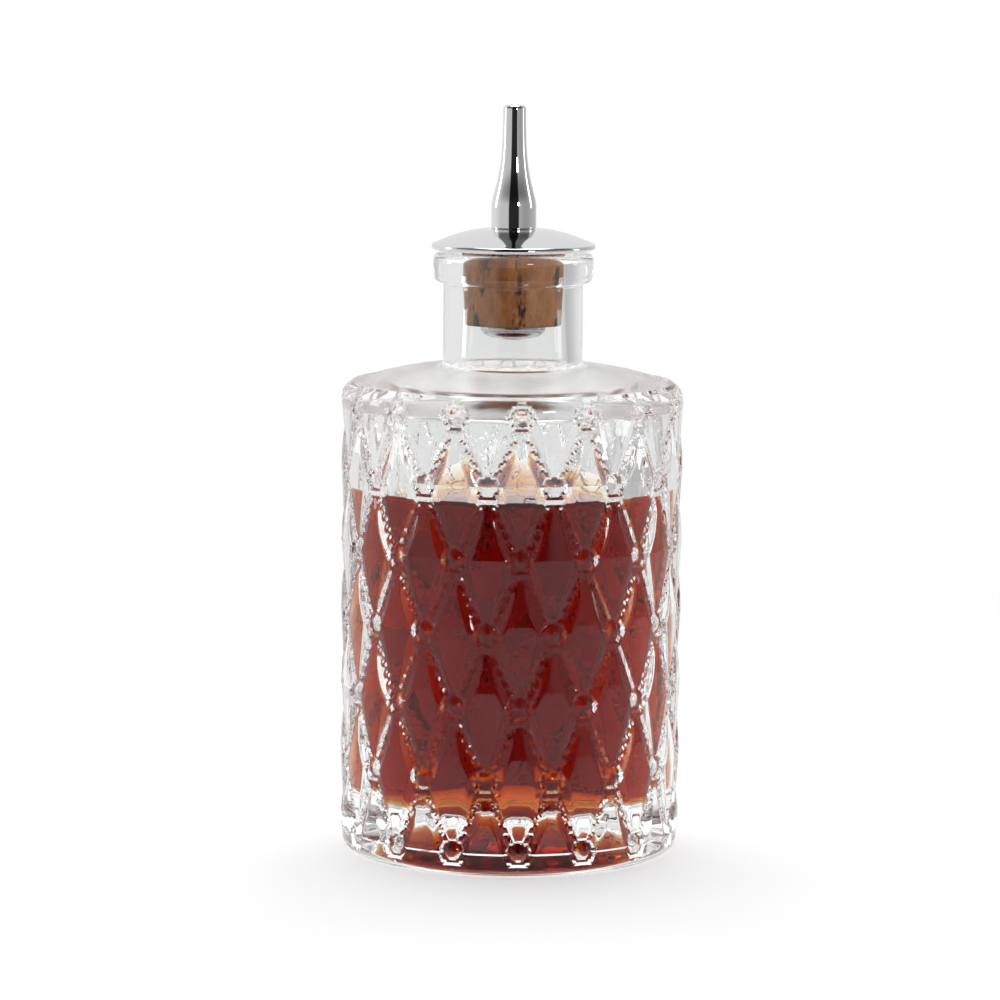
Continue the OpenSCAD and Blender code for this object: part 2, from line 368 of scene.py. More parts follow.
@dataclass(frozen=True)
class CorkFinish:
    """Natural cork: warm brown, mottled, with darker pores that run up and down."""

    name: str = "cork"
    dark: tuple[float, float, float] = (0.055, 0.022, 0.010)
    middle: tuple[float, float, float] = (0.27, 0.083, 0.022)
    light: tuple[float, float, float] = (0.60, 0.24, 0.075)
    mottle_scale: float = 330.0
    mottle_reach: tuple[float, float] = (0.32, 0.66)
    pore_scale: float = 260.0
    pore_reach: tuple[float, float] = (0.55, 0.62)

    def material(self) -> bpy.types.Material:
        """Makes the material.

        Returns:
            The new material.
        """
        n = Nodes(self.name)
        where = n.add("TexCoord").outputs["Object"]
        upright = n.add("Mapping", Vector=where, Scale=(1.0, 1.0, 0.35)).outputs[0]
        mottle = n.add("TexNoise", Vector=upright, Scale=self.mottle_scale, Detail=6.0, Roughness=0.7)
        ramp = n.add("ValToRGB", Fac=mottle.outputs[0])
        stops = ramp.color_ramp.elements
        for stop, share, shade in zip(stops, self.mottle_reach, (self.middle, self.light)):
            stop.position = share
            stop.color = (*shade, 1)
        pores = n.add("TexNoise", Vector=upright, Scale=self.pore_scale, Detail=4.0, Roughness=0.7)
        pore = n.add("MapRange", Value=pores.outputs[0], From_Min=self.pore_reach[0],
                     From_Max=self.pore_reach[1])
        colour = n.add("Mix", data_type="RGBA", i0=pore.outputs[0], i6=ramp.outputs[0],
                       i7=(*self.dark, 1))
        height = n.maths("SUBTRACT", mottle.outputs[0], pore.outputs[0])
        bump = n.add("Bump", Strength=0.5, Distance=0.0003, Height=height)
        body = n.add("BsdfPrincipled", Base_Color=colour.outputs[2], Roughness=0.75,
                     Normal=bump.outputs[0])
        return n.finish(body.outputs[0])


# The glass


@dataclass
class DiamondLattice:
    """The pressed pattern: creased diamonds with toothed upper edges, and beads on the crossings.

    u counts half diamonds round the body and v counts rows of beads, so crossings have u + v even.
    Sizes are in millimetres.
    """

    round_count: int = 16
    rows: int = 6
    pitch: float = 14.1
    top_pitch: float = 12.8
    first_z: float = 4.8
    groove_r: float = 32.3
    steps: int = 28
    turn: float = 3.2
    crest: float = 1.08
    crest_fall: float = -0.15
    tip_fall: float = 1.80
    apex: float = -0.25
    centre_facet: float = 0.45
    tip_height: float = 0.30
    band_height: float = 0.40
    low_band: float = 0.30
    low_edge: float = 0.03
    groove_rise: float = 0.12
    teeth: int = 7
    tooth_depth: float = 3 / 14
    bead_r: float = 1.9
    bead_sink: float = 0.85
    bead_moat: float = 0.25
    bar_top: float = -2.1
    bar_bottom: float = -3.4
    bar_half: float = 1.65
    bar_rise: tuple[float, float] = (0.78, 0.30)

    @property
    def columns(self) -> int:
        """Points round each ring."""
        return self.round_count * self.steps

    @property
    def half_width(self) -> float:
        """Half the width of a diamond along the wall."""
        return math.pi * self.groove_r / self.round_count

    def height(self, v: np.ndarray) -> np.ndarray:
        """Height of row coordinate v: even rows, and a shorter one at the top."""
        last = self.rows - 1
        return (self.first_z + np.minimum(v, last) * self.pitch
                + np.maximum(v - last, 0) * self.top_pitch)

    def angle(self, u: np.ndarray) -> np.ndarray:
        """Angle round the axis of column coordinate u, in radians."""
        return np.radians(self.turn) + u * math.pi / self.round_count

    def from_bead(self, u: np.ndarray, v: np.ndarray) -> tuple[np.ndarray, np.ndarray]:
        """Place along the wall from the crossing with the least |du| + |dv|, as if all rows were even.

        Args:
            u: Column coordinates.
            v: Row coordinates.

        Returns:
            Distances sideways and upward, in millimetres.
        """
        a, b = u - np.floor(u), v - np.floor(v)
        crossing = (np.floor(u) + np.floor(v)) % 2 == 0
        right = np.where(crossing, a + b > 1, a > b)
        x = np.where(right, a - 1, a)
        y = np.where(crossing == right, b - 1, b)
        return x * self.half_width, y * self.pitch

    def relief(self, u: np.ndarray, v: np.ndarray) -> np.ndarray:
        """Height of the wall over the bottom of the grooves.

        With (x, y) the place in a diamond, both from -1 to 1, and e = 1 - |x| - |y|:
        the upper half is the lower of a middle facet, crest - crest_fall y - tip_fall y^2, and two flanks
        that rise with e; the band e < tooth_depth is cut into saw teeth with level lower edges; the lower
        half is the lower of a facet that falls to the bottom corner and two flanks that rise with e. A
        bead, a cap of a sphere, sits in a moat on each crossing, over a bar.

        Args:
            u: Column coordinates.
            v: Row coordinates.

        Returns:
            Heights in millimetres.
        """
        a, b = u - np.floor(u), v - np.floor(v)
        crossing = (np.floor(u) + np.floor(v)) % 2 == 0
        far = np.where(crossing, a > b, a + b > 1)
        x = np.where(far, a - 1, a)
        y = np.where(crossing == far, b, b - 1)
        e = 1 - np.abs(x) - np.abs(y)
        height = np.abs(y)
        middle = self.crest - self.crest_fall * height - self.tip_fall * height**2
        flank = self.apex + (self.crest - self.apex) * e / self.centre_facet
        upper = np.maximum(np.minimum(middle, flank), 0)
        step = height * self.teeth
        behind = (step - np.floor(step + 1e-6)) * self.tooth_depth
        share = np.clip(e / self.tooth_depth, 0, 1)
        tooth = np.where((behind <= e + 1e-6) & (e > 0.01), self.band_height * (0.5 + 0.5 * share), 0.0)
        upper = np.where(e < self.tooth_depth - 1e-6, tooth, upper)
        lower = self.crest - (self.crest - self.tip_height) * height
        lower = np.minimum(lower, self.low_band + (self.crest - self.low_band) * e / self.centre_facet)
        lower = np.where(e < self.low_edge, self.groove_rise, lower)
        h = np.where(y > 1e-9, upper, lower)
        px, pz = self.from_bead(u, v)
        away = np.hypot(px, pz)
        cap = np.sqrt(np.maximum(self.bead_r**2 - away**2, 0)) - self.bead_sink
        h = np.where(away < self.bead_r + self.bead_moat, np.minimum(h, self.groove_rise), h)
        h = np.maximum(h, cap)
        share = (pz - self.bar_top) / (self.bar_bottom - self.bar_top)
        bar = self.bar_rise[0] + (self.bar_rise[1] - self.bar_rise[0]) * share
        on_bar = (share > -0.05) & (share < 1.05) & (np.abs(px) < self.bar_half)
        return np.where(on_bar, bar, h)


@dataclass
class GlassBottle:
    """The bottle and the bitters in it. Sizes in millimetres, as the part's solids have them."""

    lattice: DiamondLattice = field(default_factory=DiamondLattice)
    body_r: float = 33.4
    shoulder_z: float = 92.4
    shoulder_round: float = 3.4
    neck_root_z: float = 95.2
    neck_fillet: float = 1.2
    neck_r: float = 13.6
    lip_r: float = 15.6
    lip_bottom_z: float = 111.6
    lip_top_z: float = 117.4
    lip_round: float = 1.4
    lip_edge: float = 0.8
    lip_fillet: float = 0.6
    bore_top_r: float = 10.12
    bore_low_r: float = 10.85
    bore_flare_z: float = 107.0
    bore_edge: float = 1.5
    well_r: float = 23.4
    well_floor_z: float = 10.3
    floor_rise: float = 4.0
    well_round: float = 2.6
    roof_z: float = 91.0
    roof_slope: float = 0.18
    roof_end: float = 25.0
    roof_round: float = 1.0
    foot_r: float = 33.0
    foot_round: float = 2.6
    foot_inner_r: float = 24.0
    foot_hollow: float = 7.0
    liquid_z: float = 70.2
    meniscus: float = 1.5
    meniscus_reach: float = 1.6
    film: float = 0.02
    hollow_r: float = 2.3
    hollow_fade: float = 0.7
    hollow_rise: float = 0.1
    bead_over: float = 0.2
    dome_rings: int = 14
    coarse: int = 4
    sharp_angle: float = 24.0
    crease_from: float = 0.6
    bead_margin: float = 0.1

    @property
    def wet_z(self) -> float:
        """Height up to which the bitters wet the wall."""
        return self.liquid_z + self.meniscus

    def well(self, inset: float = 0.0) -> np.ndarray:
        """Profile of the well from its middle up to the foot of the bore.

        With t from 0 at the axis to 1, the floor is at well_floor_z + floor_rise (1 - t^2)^2. With d the
        distance from the bore, the roof is at roof_z - roof_slope d - curve d^2.

        Args:
            inset: Distance by which the profile is drawn in, in millimetres.

        Returns:
            Radius and height, in millimetres.
        """
        roof_r = self.bore_low_r + self.bore_edge
        centre = (self.well_r - self.well_round, self.well_floor_z + self.well_round)
        corner = self.well_round - inset
        t = np.linspace(0, 1, 13)
        rise = np.column_stack([centre[0] * t,
                                self.well_floor_z + inset + self.floor_rise * (1 - t**2)**2])
        # The roof rounds into the wall where its slope has grown to roof_end degrees
        steep = math.radians(90 - self.roof_end)
        end_r = self.well_r - self.roof_round * (1 - math.cos(steep))
        out = np.linspace(end_r - roof_r, 0, 12)
        curve = (math.tan(math.radians(self.roof_end)) - self.roof_slope) / (2 * (end_r - roof_r))
        roof_z = self.roof_z - self.roof_slope * out - curve * out**2
        corner_z = roof_z[0] - self.roof_round * math.sin(steep)
        roof = np.column_stack([roof_r + out, roof_z - inset])
        return chain(
            rise,
            arc(centre, (corner, corner), -90, 0, 10),
            line((self.well_r - inset, centre[1]), (self.well_r - inset, self.wet_z), 8),
            line((self.well_r - inset, self.wet_z), (self.well_r - inset, corner_z), 2),
            arc((self.well_r - self.roof_round, corner_z), (self.roof_round - inset,) * 2,
                0, 90 - self.roof_end, 8),
            roof[1:],
        )

    def plain_profile(self) -> np.ndarray:
        """Profile of the smooth glass: shoulder, neck, lip, bore and well, down to the middle of the floor.

        The dome of the shoulder rises as a quarter of a sine from its rim to the root of the neck.

        Returns:
            Radius and height, in millimetres.
        """
        dome_r = self.body_r - self.shoulder_round
        foot_r = self.neck_r + self.neck_fillet
        t = np.linspace(0, 1, self.dome_rings + 1)
        rise = self.neck_root_z - self.shoulder_z
        dome = np.column_stack([dome_r - (dome_r - foot_r) * t,
                                self.shoulder_z + rise * np.sin(np.pi / 2 * t)])
        roof_r = self.bore_low_r + self.bore_edge
        return chain(
            dome,
            arc((self.neck_r + self.neck_fillet, self.neck_root_z + self.neck_fillet),
                (self.neck_fillet, self.neck_fillet), -90, -180, 6),
            line((self.neck_r, self.neck_root_z + self.neck_fillet),
                 (self.neck_r, self.lip_bottom_z - self.lip_fillet), 6),
            arc((self.neck_r + self.lip_fillet, self.lip_bottom_z - self.lip_fillet),
                (self.lip_fillet, self.lip_fillet), 180, 90, 4),
            arc((self.lip_r - self.lip_round, self.lip_bottom_z + self.lip_round),
                (self.lip_round, self.lip_round), -90, 0, 6),
            arc((self.lip_r - self.lip_round, self.lip_top_z - self.lip_round),
                (self.lip_round, self.lip_round), 0, 90, 6),
            arc((self.bore_top_r + self.lip_edge, self.lip_top_z - self.lip_edge),
                (self.lip_edge, self.lip_edge), 90, 180, 5),
            line((self.bore_top_r, self.bore_flare_z), (self.bore_low_r, self.neck_root_z), 5),
            arc((roof_r, self.roof_z + self.bore_edge), (self.bore_edge, self.bore_edge), -180, -98, 5),
            self.well()[::-1],
        )

    def foot_profile(self) -> np.ndarray:
        """Profile of the foot: with t from 0 at the axis to 1, a hollow of foot_hollow (1 - t^2), then flat.

        Returns:
            Radius and height, in millimetres, out to the rounded edge.
        """
        t = np.linspace(0, 1, 9)
        under = np.column_stack([self.foot_inner_r * t, self.foot_hollow * (1 - t**2)])
        return chain(under, line((self.foot_inner_r, 0), (self.foot_r - self.foot_round, 0), 4))

    def wall_radius(self, z: np.ndarray) -> np.ndarray:
        """Radius of the plain wall beyond the ends of the pattern, rounded by circles at foot and shoulder.

        Args:
            z: Heights in millimetres.

        Returns:
            Radii in millimetres.
        """
        low = np.clip(self.foot_round - z, 0, self.foot_round)
        high = np.clip(z - (self.shoulder_z - self.shoulder_round), 0, self.shoulder_round)
        foot = self.foot_r - self.foot_round + np.sqrt(self.foot_round**2 - low**2)
        rim = self.body_r - self.shoulder_round + np.sqrt(np.maximum(self.shoulder_round**2 - high**2, 0))
        return np.where(z > self.shoulder_z / 2, rim, foot)

    def fine_rings(self) -> tuple[np.ndarray, np.ndarray, np.ndarray]:
        """Rings of the patterned wall, staggered by half a step so that all grooves follow mesh edges.

        Returns:
            Radius, height and angle, each an array of rings by columns.
        """
        lat = self.lattice
        n, rows = lat.steps, lat.rows
        below, above = self.foot_rows(), self.rim_rows()
        m = np.arange(-len(below), rows * n + 1 + len(above))
        z = np.concatenate([below, lat.height(np.arange(rows * n + 1) / n), above])
        k = np.arange(lat.columns)
        u = (2 * k[None, :] + (m % 2)[:, None]) / n
        v = np.clip(m / n, 0, rows)[:, None] + 0 * u
        radius = lat.groove_r + lat.relief(u, v)
        # Beyond the first and last row of beads the wall is plain, with a hollow round each bead
        end = np.where(m < 0, 0.0, float(rows))
        beyond = (m < 0) | (m > rows * n)
        end_z = lat.height(end)
        near = 2 * np.round((u - end[:, None] % 2) / 2) + end[:, None] % 2
        px = (u - near) * lat.half_width
        away = np.hypot(px, (z - end_z)[:, None])
        cap = lat.groove_r + np.sqrt(np.maximum(lat.bead_r**2 - away**2, 0)) - lat.bead_sink
        plain = self.wall_radius(z)[:, None] + 0 * u
        share = np.clip((away - self.hollow_r) / self.hollow_fade, 0, 1)
        share = share * share * (3 - 2 * share)
        hollow = np.minimum(plain, lat.groove_r + self.hollow_rise)
        outside = np.maximum(hollow * (1 - share) + plain * share, np.minimum(cap, plain + self.bead_over))
        radius = np.where(beyond[:, None], outside, radius)
        return np.minimum(radius, self.body_r), z[:, None] + 0 * u, lat.angle(u)

    def foot_rows(self) -> np.ndarray:
        """Heights of the rings between the foot and the first row of beads.

        Returns:
            An even number of heights in millimetres, upward.
        """
        a = np.radians(np.linspace(-90, 0, 9)[1:-1])
        curve = self.foot_round + self.foot_round * np.sin(a)
        straight = np.linspace(self.foot_round, self.lattice.first_z, 6)[:-1]
        rows = np.concatenate([curve, straight])
        return rows[len(rows) % 2:]

    def rim_rows(self) -> np.ndarray:
        """Heights of the rings between the last row of beads and the dome of the shoulder.

        Returns:
            An even number of heights in millimetres, upward.
        """
        start = self.shoulder_z - self.shoulder_round
        top = self.lattice.height(np.array(float(self.lattice.rows)))
        straight = np.linspace(float(top), start, 4)[1:]
        a = np.radians(np.linspace(0, 90, 10)[1:-1])
        rows = np.concatenate([straight, start + self.shoulder_round * np.sin(a)])
        return rows[:len(rows) // 2 * 2]

    def build(self) -> bpy.types.Object:
        """Builds the glass as one closed mesh: the patterned wall, then the smooth rest above and below it.

        Each cell of the patterned wall is two triangles, whose diagonal turns the other way on every
        second ring, because the rings are staggered.

        Returns:
            The glass, with the slots of GlassSlot on its faces.
        """
        radius, height, angle = self.fine_rings()
        rings, columns = radius.shape
        index = np.arange(rings * columns).reshape(rings, columns)
        low, high = index[:-1], index[1:]
        low_next, high_next = np.roll(low, -1, axis=1), np.roll(high, -1, axis=1)
        odd = ((np.arange(rings - 1) + len(self.foot_rows())) % 2 == 1)[:, None]
        first = np.stack([low, np.where(odd, high_next, low_next), high], axis=-1)
        second = np.stack([np.where(odd, low, low_next), np.where(odd, low_next, high_next),
                           np.where(odd, high_next, high)], axis=-1)
        wall = np.stack([first, second], axis=1).reshape(-1, 3)
        points, blocks = [ring_points(radius, height, angle).reshape(-1, 3)], [wall]
        slots = [np.full(len(wall), GlassSlot.CLEAR)]
        coarse_angle = self.lattice.angle(2 * np.arange(0, columns, self.coarse) / self.lattice.steps)
        for profile, edge, upward in ((self.plain_profile(), index[-1], True),
                                      (self.foot_profile()[::-1], index[0], False)):
            part, part_blocks, part_slots = self.smooth_part(profile, edge, coarse_angle,
                                                             sum(map(len, points)), upward)
            points.append(part)
            blocks += part_blocks
            slots.append(part_slots)
        piece = make_object("pressed_glass_bottle", np.vstack(points), blocks, np.concatenate(slots))
        self.crease(piece.data, rings, columns)
        return piece

    def crease(self, mesh: bpy.types.Mesh, rings: int, columns: int) -> None:
        """Keeps the edges of the facets and teeth crisp and the beads round.

        Args:
            mesh: The finished mesh, whose first rings times columns vertices are the patterned wall.
            rings: Number of rings of the patterned wall.
            columns: Points on each of them.
        """
        mesh.set_sharp_from_angle(angle=math.radians(self.sharp_angle))
        ends = np.empty(2 * len(mesh.edges), np.int32)
        mesh.edges.foreach_get("vertices", ends)
        ends = ends.reshape(-1, 2)
        sharp = np.empty(len(mesh.edges), bool)
        mark = mesh.attributes["sharp_edge"].data
        mark.foreach_get("value", sharp)
        lat, n = self.lattice, self.lattice.steps
        ring, column = np.divmod(np.minimum(ends, rings * columns - 1), columns)
        m = ring - len(self.foot_rows())
        px, pz = lat.from_bead((2 * column + m % 2) / n, np.clip(m / n, 0, lat.rows))
        away = np.hypot(px, pz).max(axis=1)
        patterned = ((ends < rings * columns) & (m > 0) & (m < lat.rows * n)).all(axis=1)
        level = patterned & (m[:, 0] == m[:, 1]) & (m[:, 0] % n == 0)
        sharp |= level & (away > lat.bead_r + self.crease_from)
        sharp &= ~(patterned & (away < lat.bead_r - self.bead_margin))
        mark.foreach_set("value", sharp)

    def smooth_part(self, profile: np.ndarray, edge: np.ndarray, angle: np.ndarray, start: int,
                    upward: bool) -> tuple[np.ndarray, list[np.ndarray], np.ndarray]:
        """Grid of a plain profile that ends on the axis, joined to a fine ring by fans.

        Args:
            profile: Radius and height, from next to the fine ring to the axis.
            edge: Vertex indices of the fine ring.
            angle: Angles of the coarse columns.
            start: Index that the first new vertex gets.
            upward: Whether the part lies above the fine ring.

        Returns:
            New points, blocks of faces, and the slot of each face.
        """
        columns = len(angle)
        rings = ring_points(profile[:-1, :1], profile[:-1, 1:], angle[None, :]).reshape(-1, 3)
        pole = np.array([[0.0, 0.0, profile[-1, 1]]])
        index = start + np.arange(len(rings)).reshape(-1, columns)
        ring, ring_next = index[0], np.roll(index[0], -1)
        last, last_next = index[-1], np.roll(index[-1], -1)
        fine = [np.roll(edge, -shift)[::self.coarse] for shift in range(self.coarse + 1)]
        fans = np.vstack([np.column_stack(corners) for corners in (
            (ring, fine[0], fine[1]), (ring, fine[1], fine[2]), (ring, fine[2], ring_next),
            (ring_next, fine[2], fine[3]), (ring_next, fine[3], fine[4]))])
        tip = np.column_stack([last, last_next, np.full(columns, start + len(rings))])
        blocks = [fans, ring_faces(index), tip]
        strip = np.arange(len(index) - 1)
        wet = upward & (np.maximum(profile[:-2, 1], profile[1:-1, 1]) < self.wet_z + WET_MARGIN)
        dome = upward & (strip < self.dome_rings)
        slot = np.where(dome, GlassSlot.SHOULDER, np.where(wet, GlassSlot.WET, GlassSlot.CLEAR))
        slots = np.concatenate([
            np.full(len(fans), GlassSlot.SHOULDER if upward else GlassSlot.CLEAR),
            np.repeat(slot, columns),
            np.full(columns, GlassSlot.WET if upward else GlassSlot.CLEAR),
        ])
        if not upward:
            blocks = [block[:, ::-1] for block in blocks]
        return np.vstack([rings, pole]), blocks, slots

    def build_liquid(self) -> bpy.types.Object:
        """Builds the bitters: the well drawn in by a thin film, and a top that climbs at the glass.

        The climb falls off as exp(-d / meniscus_reach) with the distance d from the glass.

        Returns:
            The liquid, with 1 on the faces of its top in the attribute free_surface.
        """
        well = self.well(self.film)
        side = well[well[:, 1] < self.liquid_z - 1.0]
        r = self.well_r - self.film
        away = np.linspace(0, 1, 15)**1.5 * 5 * self.meniscus_reach
        climb = np.exp(-away / self.meniscus_reach)
        climb = (climb - climb[-1]) / (1 - climb[-1])
        curl = np.column_stack([r - away, self.liquid_z + self.meniscus * climb])
        profile = chain(side, line((r, self.liquid_z - 1.0), (r, self.wet_z), 3), curl,
                        line((r - away[-1], self.liquid_z), (0, self.liquid_z), 8))
        piece = revolve("bitters", profile, 112)
        count = len(piece.data.polygons)
        normal, centre = np.empty((2, count, 3), np.float32)
        piece.data.polygons.foreach_get("normal", normal.ravel())
        piece.data.polygons.foreach_get("center", centre.ravel())
        top = (normal[:, 2] > 0.2) & (centre[:, 2] > (self.liquid_z - 0.5) * MM)
        free = piece.data.attributes.new("free_surface", "FLOAT", "FACE")
        free.data.foreach_set("value", top.astype(np.float32))
        return piece

    def dress(self) -> list[bpy.types.Object]:
        """Builds both pieces, gives them their finishes and places them in the frame.

        Returns:
            The finished pieces.
        """
        glass, liquid = self.build(), self.build_liquid()
        finishes = {
            GlassSlot.CLEAR: GlassFinish(),
            GlassSlot.WET: GlassFinish("wet_glass", ior=GLASS_IOR / BITTERS_IOR),
            GlassSlot.SHOULDER: GlassFinish("shoulder_glass", roughness=0.24),
        }
        for slot in GlassSlot:
            glass.data.materials.append(finishes[slot].material())
        liquid.data.materials.append(BittersFinish().material())
        place(glass, Body.BOTTLE, "glass_bottle")
        place(liquid, Body.BOTTLE, "bitters_liquid")
        return [glass, liquid]


@dataclass
class DasherStopper:
    """The cork, the domed disc, the spout, the stem and its collar. Sizes in millimetres."""

    cork_bottom_z: float = 103.5
    cork_small_r: float = 9.35
    cork_large_r: float = 10.05
    cork_edge: float = 0.6
    disc_r: float = 16.0
    disc_bottom_z: float = 118.0
    disc_rim: float = 1.2
    disc_dome: float = 2.8
    seat_r: float = 5.0
    dome_power: float = 1.7
    spout_h: float = 24.0
    spout_base_r: float = 4.38
    spout_tip_r: float = 2.2
    spout_edge: tuple[float, float] = (0.25, 0.4)
    orifice_r: float = 1.2
    barrel_h: float = 4.4
    spout_fall: float = 0.32
    stem_r: float = 2.5
    stem_bore_r: float = 1.6
    stem_grip: float = 5.5
    collar_r: float = 6.3
    collar_h: float = 2.4
    collar_boss: float = 0.6
    collar_edge: float = 0.5
    stem_below: float = 0.2
    stem_bevel: float = 0.15
    slip: float = 0.03
    seat_gap: float = 0.02

    @property
    def seat_z(self) -> float:
        """Height of the seat of the spout."""
        return self.disc_bottom_z + self.disc_rim + self.disc_dome

    def build_disc(self) -> bpy.types.Object:
        """Disc: a rolled rim, then a rise of disc_dome (1 - (1 - t)^dome_power), with t 1 at the seat.

        Returns:
            The new piece.
        """
        half = self.disc_rim / 2
        edge_r = self.disc_r - half
        t = np.linspace(0, 1, 33)
        rise = self.disc_rim + self.disc_dome * (1 - (1 - t) ** self.dome_power)
        dome = np.column_stack([edge_r - (edge_r - self.seat_r) * t, self.disc_bottom_z + rise])
        hole = self.stem_r + self.slip
        profile = chain(line((hole, self.disc_bottom_z), (edge_r, self.disc_bottom_z), 4),
                        arc((edge_r, self.disc_bottom_z + half), (half, half), -90, 75, 12),
                        dome[1:], line((self.seat_r, self.seat_z), (hole, self.seat_z), 3),
                        line((hole, self.seat_z), (hole, self.disc_bottom_z), 3)[:-1])
        return revolve("domed_disc", profile, 160, closed=True)

    def spout_radius(self, h: np.ndarray) -> np.ndarray:
        """Radius of the spout: spout_base_r for the barrel, then tip + (base - tip) exp(-(t / fall)^1.5).

        Args:
            h: Heights over the seat, in millimetres. The share t goes from 0 over the barrel to 1 at the tip.

        Returns:
            Radii in millimetres.
        """
        t = np.maximum(0, h - self.barrel_h) / (self.spout_h - self.barrel_h)
        flare = np.exp(-((t / self.spout_fall) ** 1.5))
        return self.spout_tip_r + (self.spout_base_r - self.spout_tip_r) * flare

    def build_spout(self) -> bpy.types.Object:
        """Spout: the outer curve of spout_radius, a round tip, and the way through it.

        Returns:
            The new piece.
        """
        hole = self.stem_r + self.slip
        tip = (self.spout_tip_r - self.orifice_r) * 0.8
        slim = float(self.spout_radius(np.array(self.spout_h)))
        h = np.linspace(self.barrel_h, self.spout_h - tip, 60)
        outer = np.column_stack([self.spout_radius(h), h])
        foot_r, foot_h = self.spout_base_r - self.spout_edge[0], self.spout_edge[1]
        socket = self.stem_grip + self.slip
        profile = chain(line((hole, 0), (foot_r, 0), 2),
                        arc((foot_r, foot_h), self.spout_edge, -90, 0, 5),
                        line((self.spout_base_r, foot_h), (self.spout_base_r, self.barrel_h), 4),
                        outer, arc((slim - tip, self.spout_h - tip), (tip, tip), 10, 90, 8),
                        line((self.orifice_r, self.spout_h), (self.orifice_r, self.spout_h * 0.8), 2),
                        line((self.stem_bore_r, socket + 1), (hole, socket), 1))
        profile[:, 1] += self.seat_z
        return revolve("dasher_spout", profile, 128, closed=True)

    def build_cork(self) -> bpy.types.Object:
        """Cork: a tapered plug with a rounded lower edge and a hole for the stem.

        Returns:
            The new piece.
        """
        hole, low, edge = self.stem_r + self.slip, self.cork_bottom_z, self.cork_edge
        top = self.disc_bottom_z - self.seat_gap
        profile = chain(line((hole, low), (self.cork_small_r - edge, low), 6),
                        arc((self.cork_small_r - edge, low + edge), (edge, edge), -90, 0, 4),
                        line((self.cork_small_r, low + edge), (self.cork_large_r, top), 60),
                        line((self.cork_large_r, top), (hole, top), 6),
                        line((hole, top), (hole, low), 4)[:-1])
        return revolve("tapered_cork", profile, 220, closed=True)

    def build_stem(self) -> bpy.types.Object:
        """Stem: a plain tube with bevelled ends, from below the collar up into the spout.

        Returns:
            The new piece.
        """
        low = self.cork_bottom_z - self.collar_h - self.stem_below
        high = self.seat_z + self.stem_grip
        profile = chain(line((self.stem_bore_r, low), (self.stem_r - self.stem_bevel, low)),
                        line((self.stem_r, low + self.stem_bevel), (self.stem_r, high - self.stem_bevel), 6),
                        line((self.stem_r - self.stem_bevel, high), (self.stem_bore_r, high)),
                        line((self.stem_bore_r, high), (self.stem_bore_r, low), 6)[:-1])
        return revolve("stem_tube_bright", profile, 64, closed=True)

    def build_collar(self) -> bpy.types.Object:
        """Collar: a shallow dished washer round the lower end of the stem.

        Returns:
            The new piece.
        """
        hole, top = self.stem_r + self.slip, self.cork_bottom_z - self.seat_gap
        low, boss = self.cork_bottom_z - self.collar_h, self.stem_r + self.collar_boss
        rim = self.cork_bottom_z - self.collar_edge
        profile = chain(line((hole, low), (boss, low)),
                        arc((boss, rim), (self.collar_r - boss, rim - low), -90, 0, 14),
                        line((self.collar_r, rim), (self.collar_r, top), 2),
                        line((self.collar_r, top), (hole, top), 4),
                        line((hole, top), (hole, low), 3)[:-1])
        return revolve("dished_collar", profile, 96, closed=True)

    def dress(self) -> list[bpy.types.Object]:
        """Builds the five pieces, gives them their finishes and places them in the frame.

        Returns:
            The finished pieces.
        """
        bright = MetalFinish("polished_metal").material()
        plain = MetalFinish("tube_metal", (0.55, 0.55, 0.57), (0.18, 0.32), 1500.0).material()
        parts = [
            (self.build_cork(), CorkFinish().material(), "cork", "cork"),
            (self.build_disc(), bright, "polished_metal", "cap_disc"),
            (self.build_spout(), bright, "polished_metal", "spout_nozzle"),
            (self.build_stem(), plain, "tube_metal", "stem_tube"),
            (self.build_collar(), plain, "tube_metal", "end_collar"),
        ]
        for piece, material, slot, node in parts:
            piece.data.materials.append(material)
            place(piece, Body.STOPPER, node)
        return [part[0] for part in parts]


def place(piece: bpy.types.Object, body: Body, node: str) -> None:
    """Rides a piece on its body, in the place of its CAD node.

    Args:
        piece: The finished piece.
        body: The body that it moves with.
        node: The CAD node that it stands for.
    """
    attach(piece, body.value)
    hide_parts(node)


# The studio


@dataclass(frozen=True)
class Softbox:
    """An area lamp that faces the bottle.

    The azimuth goes round the bottle, with 0 at the front and 90 at the right, and the elevation is over
    the horizon, both in degrees. Distance from the bottle and size are in metres, power in watts.
    """

    name: str
    azimuth: float
    elevation: float
    distance: float
    size: tuple[float, float]
    power: float

    def build(self, target_z: float) -> None:
        """Makes the lamp, which the camera doesn't see.

        Args:
            target_z: Height of the point that it faces, in metres.
        """
        data = bpy.data.lights.new(self.name, "AREA")
        data.shape = "RECTANGLE"
        data.size, data.size_y = self.size
        data.energy = self.power
        a, e = math.radians(self.azimuth), math.radians(self.elevation)
        back = Vector((math.sin(a) * math.cos(e), -math.cos(a) * math.cos(e), math.sin(e)))
        lamp = bpy.data.objects.new(self.name, data)
        lamp.location = back * self.distance + Vector((0, 0, target_z))
        lamp.rotation_euler = back.to_track_quat("Z", "Y").to_euler()
        lamp.visible_camera = False
        bpy.context.scene.collection.objects.link(lamp)


